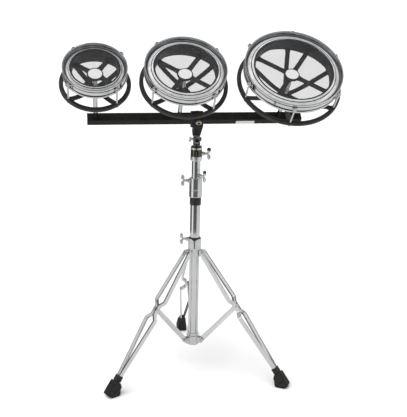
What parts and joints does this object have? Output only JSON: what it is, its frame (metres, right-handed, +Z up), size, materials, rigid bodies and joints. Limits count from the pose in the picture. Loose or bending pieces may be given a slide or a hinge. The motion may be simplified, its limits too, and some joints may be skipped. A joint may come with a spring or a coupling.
{
  "type": "tunable drum set on tripod stand",
  "caption": "Shallow shell-less drums on threaded posts along a tilted rail, carried by a telescopic column on a folding tripod.",
  "frame": {"origin": "centre of the bounding box, on the floor that the feet stand on", "axes": "+Z up, +X to the player's right along the rail, -Y towards the player"},
  "size_m": [0.7768, 0.663, 1.1023],
  "materials": {
    "chrome": "polished chrome plate",
    "leg_chrome": "bright plated pressed steel",
    "aluminium": "satin",
    "black_paint": "satin black",
    "black_casting": "satin black on a casting",
    "black_plastic": "matt",
    "rubber": "matt",
    "brass": "yellow passivated",
    "clear_film": "clear polyester film"
  },
  "bodies": {
    "base": {"base_tube": "chrome", "lower_hub": "chrome", "height_clamp": "chrome", "height_bushing": "black_plastic"},
    "height_screw": {"height_screw": "chrome"},
    "leg_hub": {"leg_hub": "chrome", "leg_hub_bushing": "black_plastic"},
    "hub_screw": {"hub_screw": "chrome"},
    "leg_1": {"leg_1_near_strip": "leg_chrome", "leg_1_far_strip": "leg_chrome", "leg_1_foot": "rubber", "leg_1_pin": "leg_chrome"},
    "brace_1": {"brace_1": "leg_chrome"},
    "leg_2": {"leg_2_near_strip": "leg_chrome", "leg_2_far_strip": "leg_chrome", "leg_2_foot": "rubber", "leg_2_pin": "leg_chrome"},
    "brace_2": {"brace_2": "leg_chrome"},
    "leg_3": {"leg_3_near_strip": "leg_chrome", "leg_3_far_strip": "leg_chrome", "leg_3_foot": "rubber", "leg_3_pin": "leg_chrome"},
    "brace_3": {"brace_3": "leg_chrome"},
    "mast": {"upper_tube": "chrome", "memory_collar": "chrome", "top_clamp": "chrome", "top_bushing": "black_plastic"},
    "memory_screw": {"memory_screw": "chrome"},
    "top_screw": {"top_screw": "chrome"},
    "stem": {"tilter_stem": "chrome", "tilter_bolt": "black_plastic"},
    "tilter_wing": {"tilter_wing": "chrome"},
    "tilter_head": {"tilter_head": "chrome", "rail_bracket": "black_paint", "bracket_bolt": "brass", "rail": "black_paint", "small_post": "chrome", "medium_post": "chrome", "large_post": "chrome", "small_post_nut": "black_paint", "medium_post_nut": "black_paint", "large_post_nut": "black_paint"},
    "small_drum": {"small_upper_wheel": "black_casting", "small_head": "clear_film", "small_flesh_hoop": "aluminium"},
    "small_tuner": {"small_hoop": "chrome", "small_lower_wheel": "black_casting"},
    "medium_drum": {"medium_upper_wheel": "black_casting", "medium_head": "clear_film", "medium_flesh_hoop": "aluminium"},
    "medium_tuner": {"medium_hoop": "chrome", "medium_lower_wheel": "black_casting"},
    "large_drum": {"large_upper_wheel": "black_casting", "large_head": "clear_film", "large_flesh_hoop": "aluminium"},
    "large_tuner": {"large_hoop": "chrome", "large_lower_wheel": "black_casting"}
  },
  "joints": [
    {"name": "hub_slide", "type": "slide", "parent": "base", "child": "leg_hub", "axis": [0, 0, 1], "range_m": [0, 0.078]},
    {"name": "hub_screw_turn", "type": "hinge", "parent": "leg_hub", "child": "hub_screw", "pos_m": [-0.01864, 0.00117, 0.451], "axis": [-1, 0, 0], "continuous": true},
    {"name": "height_screw_turn", "type": "hinge", "parent": "base", "child": "height_screw", "pos_m": [-0.01864, 0.00117, 0.641], "axis": [-1, 0, 0], "continuous": true},
    {"name": "leg_1_fold", "type": "hinge", "parent": "leg_hub", "child": "leg_1", "pos_m": [-0.04046, -0.01637, 0.41], "axis": [0.6266, -0.7793, 0], "range_deg": [0, 28.48]},
    {"name": "leg_2_fold", "type": "hinge", "parent": "leg_hub", "child": "leg_2", "pos_m": [0.00746, -0.00895, 0.41], "axis": [0.3616, 0.9323, 0], "range_deg": [0, 28.48]},
    {"name": "leg_3_fold", "type": "hinge", "parent": "leg_hub", "child": "leg_3", "pos_m": [-0.02293, 0.02884, 0.41], "axis": [-0.9882, -0.153, 0], "range_deg": [0, 28.48]},
    {"name": "brace_1_fold", "type": "hinge", "parent": "base", "child": "brace_1", "pos_m": [-0.04202, -0.01762, 0.108], "axis": [-0.6266, 0.7793, 0], "range_deg": [0, 32.44]},
    {"name": "brace_2_fold", "type": "hinge", "parent": "base", "child": "brace_2", "pos_m": [0.00933, -0.00967, 0.108], "axis": [-0.3616, -0.9323, 0], "range_deg": [0, 32.44]},
    {"name": "brace_3_fold", "type": "hinge", "parent": "base", "child": "brace_3", "pos_m": [-0.02323, 0.03082, 0.108], "axis": [0.9882, 0.153, 0], "range_deg": [0, 32.44]},
    {"name": "mast_slide", "type": "slide", "parent": "base", "child": "mast", "axis": [0, 0, 1], "range_m": [0, 0.28]},
    {"name": "memory_screw_turn", "type": "hinge", "parent": "mast", "child": "memory_screw", "pos_m": [-0.01864, 0.00117, 0.6598], "axis": [0.7071, -0.7071, 0], "continuous": true},
    {"name": "top_screw_turn", "type": "hinge", "parent": "mast", "child": "top_screw", "pos_m": [-0.01864, 0.00117, 0.728], "axis": [0.9903, -0.1392, 0], "continuous": true},
    {"name": "stem_turn", "type": "hinge", "parent": "mast", "child": "stem", "pos_m": [-0.01864, 0.00117, 0.772], "axis": [0, 0, 1], "continuous": true},
    {"name": "tilter_wing_turn", "type": "hinge", "parent": "stem", "child": "tilter_wing", "pos_m": [-0.01864, 0.00117, 0.772], "axis": [-0.9872, -0.1597, 0], "continuous": true},
    {"name": "tilt", "type": "hinge", "parent": "stem", "child": "tilter_head", "pos_m": [-0.01864, 0.00117, 0.772], "axis": [0.9872, 0.1597, 0], "range_deg": [-43, 46]},
    {"name": "small_turn", "type": "hinge", "parent": "tilter_head", "child": "small_drum", "pos_m": [-0.30806, -0.12763, 0.85069], "axis": [0.1104, -0.6825, 0.7225], "range_deg": [0, 360]},
    {"name": "small_tune", "type": "slide", "parent": "small_drum", "child": "small_tuner", "axis": [0.1104, -0.6825, 0.7225], "range_m": [0, 0.0016]},
    {"name": "medium_turn", "type": "hinge", "parent": "tilter_head", "child": "medium_drum", "pos_m": [-0.07005, -0.08678, 0.8529], "axis": [0.1104, -0.6825, 0.7225], "range_deg": [0, 360]},
    {"name": "medium_tune", "type": "slide", "parent": "medium_drum", "child": "medium_tuner", "axis": [0.1104, -0.6825, 0.7225], "range_m": [0, 0.0016]},
    {"name": "large_turn", "type": "hinge", "parent": "tilter_head", "child": "large_drum", "pos_m": [0.22532, -0.03608, 0.85565], "axis": [0.1104, -0.6825, 0.7225], "range_deg": [0, 360]},
    {"name": "large_tune", "type": "slide", "parent": "large_drum", "child": "large_tuner", "axis": [0.1104, -0.6825, 0.7225], "range_m": [0, 0.0016]}
  ],
  "couplings": [
    {"joint": "leg_1_fold", "follows": "hub_slide", "rad_per_m": 6.3055},
    {"joint": "leg_2_fold", "follows": "hub_slide", "rad_per_m": 6.3055},
    {"joint": "leg_3_fold", "follows": "hub_slide", "rad_per_m": 6.3055},
    {"joint": "brace_1_fold", "follows": "hub_slide", "rad_per_m": 7.1918},
    {"joint": "brace_2_fold", "follows": "hub_slide", "rad_per_m": 7.1918},
    {"joint": "brace_3_fold", "follows": "hub_slide", "rad_per_m": 7.1918},
    {"joint": "small_tune", "follows": "small_turn", "m_per_rad": 0.00023873},
    {"joint": "medium_tune", "follows": "medium_turn", "m_per_rad": 0.00023873},
    {"joint": "large_tune", "follows": "large_turn", "m_per_rad": 0.00023873}
  ]
}
